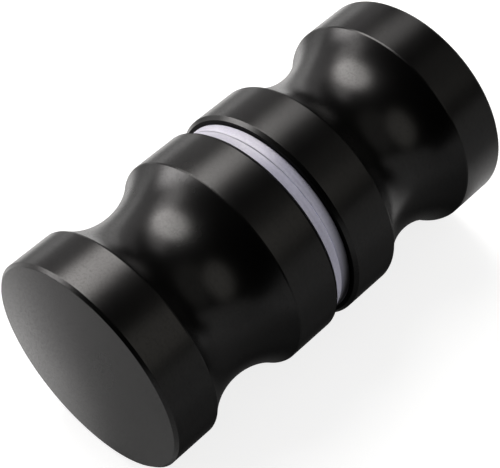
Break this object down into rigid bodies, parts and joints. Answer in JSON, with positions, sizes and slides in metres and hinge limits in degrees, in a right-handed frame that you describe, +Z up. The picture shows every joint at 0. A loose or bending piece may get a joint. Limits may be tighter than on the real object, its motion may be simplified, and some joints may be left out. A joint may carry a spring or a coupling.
{
  "type": "shower door knob pair",
  "caption": "Back-to-back turned shower door knobs with waisted necks, joined by a hidden stud through soft gaskets that clamp the glass.",
  "frame": {"origin": "on the common axis, in the plane where the two gaskets meet, which is the middle of the glass", "axes": "+Y along the common axis towards the inside knob, +Z up with the pair mounted on an upright door"},
  "size_m": [0.03, 0.059, 0.03],
  "materials": {
    "black_metal": "satin",
    "clear_gasket": "translucent",
    "plated_steel": "bright",
    "clear_sleeve": "clear"
  },
  "bodies": {
    "root": {"outside_knob": "black_metal", "inside_knob": "black_metal", "outside_gasket": "clear_gasket", "inside_gasket": "clear_gasket", "threaded_stud": "plated_steel", "glass_sleeve": "clear_sleeve"}
  },
  "joints": []
}
